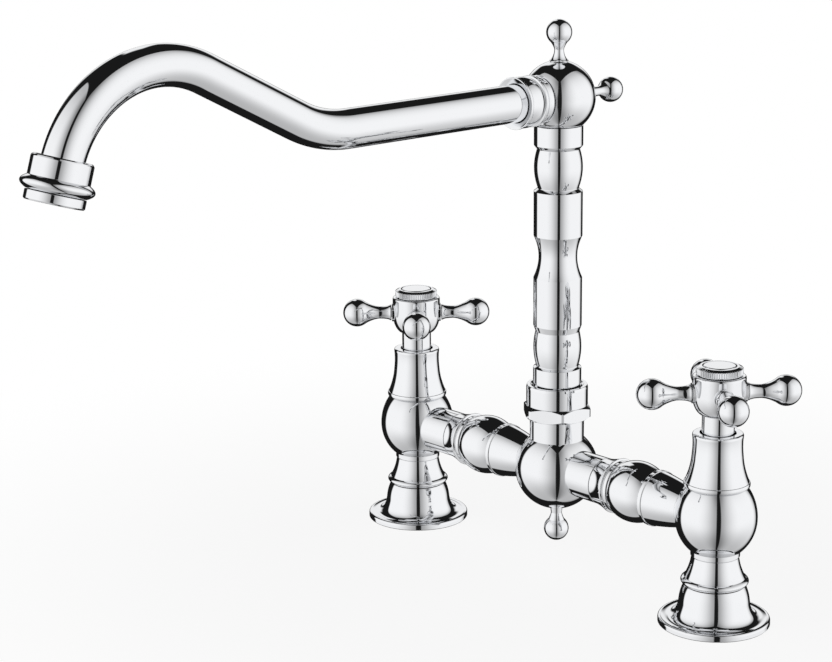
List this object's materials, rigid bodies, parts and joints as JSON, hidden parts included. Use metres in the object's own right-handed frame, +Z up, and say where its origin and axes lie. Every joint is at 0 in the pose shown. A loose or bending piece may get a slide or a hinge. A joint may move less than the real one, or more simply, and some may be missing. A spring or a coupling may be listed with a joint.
{
  "type": "bridge kitchen faucet",
  "caption": "Deck-mounted bridge kitchen faucet in polished chrome, with cross handles, a turned riser that swivels in the bridge, and a swan-neck spout.",
  "frame": {"origin": "on the deck, midway between the axes of the two pillars", "axes": "+X from the left pillar to the right pillar, -Y out along the spout at rest, +Z up"},
  "size_m": [0.264, 0.3276, 0.2749],
  "materials": {
    "chrome": "polished",
    "brass": "satin",
    "steel": "satin",
    "black_rubber": "matte",
    "alumina": "satin",
    "acetal": "satin"
  },
  "bodies": {
    "fixed_faucet": {"left_base_escutcheon": "chrome", "left_base_gasket": "black_rubber", "left_threaded_shank": "brass", "left_valve_body": "chrome", "left_seat_seal": "black_rubber", "left_fixed_ceramic_disc": "alumina", "left_cartridge_body": "brass", "left_bonnet": "chrome", "left_union_collar": "chrome", "left_bridge_seal": "black_rubber", "left_bridge_sleeve": "chrome", "right_base_escutcheon": "chrome", "right_base_gasket": "black_rubber", "right_threaded_shank": "brass", "right_valve_body": "chrome", "right_seat_seal": "black_rubber", "right_fixed_ceramic_disc": "alumina", "right_cartridge_body": "brass", "right_bonnet": "chrome", "right_union_collar": "chrome", "right_bridge_seal": "black_rubber", "right_bridge_sleeve": "chrome", "centre_body": "chrome", "bottom_finial": "chrome", "union_nut": "chrome", "swivel_washer": "acetal"},
    "left_handle": {"left_moving_ceramic_disc": "alumina", "left_cartridge_spindle": "brass", "left_handle_hub": "chrome", "left_handle_screw": "steel", "left_index_ring": "chrome", "left_index_button": "chrome", "left_handle_arm_1": "chrome", "left_handle_arm_2": "chrome", "left_handle_arm_3": "chrome", "left_handle_arm_4": "chrome"},
    "right_handle": {"right_moving_ceramic_disc": "alumina", "right_cartridge_spindle": "brass", "right_handle_hub": "chrome", "right_handle_screw": "steel", "right_index_ring": "chrome", "right_index_button": "chrome", "right_handle_arm_1": "chrome", "right_handle_arm_2": "chrome", "right_handle_arm_3": "chrome", "right_handle_arm_4": "chrome"},
    "spout": {"riser_column": "chrome", "riser_lower_seal": "black_rubber", "riser_upper_seal": "black_rubber", "ball_head": "chrome", "top_finial": "chrome", "side_finial": "chrome", "spout_collar": "chrome", "spout_tube": "chrome", "outlet_collar": "chrome", "aerator_housing": "chrome", "aerator_screen": "acetal", "aerator_washer": "black_rubber"}
  },
  "joints": [
    {"name": "left_handle_turn", "type": "hinge", "parent": "fixed_faucet", "child": "left_handle", "pos_m": [-0.1016, 0, 0.1088], "axis": [0, 0, 1], "range_deg": [0, 90]},
    {"name": "right_handle_turn", "type": "hinge", "parent": "fixed_faucet", "child": "right_handle", "pos_m": [0.1016, 0, 0.1088], "axis": [0, 0, 1], "range_deg": [-90, 0]},
    {"name": "spout_swivel", "type": "hinge", "parent": "fixed_faucet", "child": "spout", "pos_m": [0, 0, 0.0843], "axis": [0, 0, 1], "continuous": true}
  ]
}
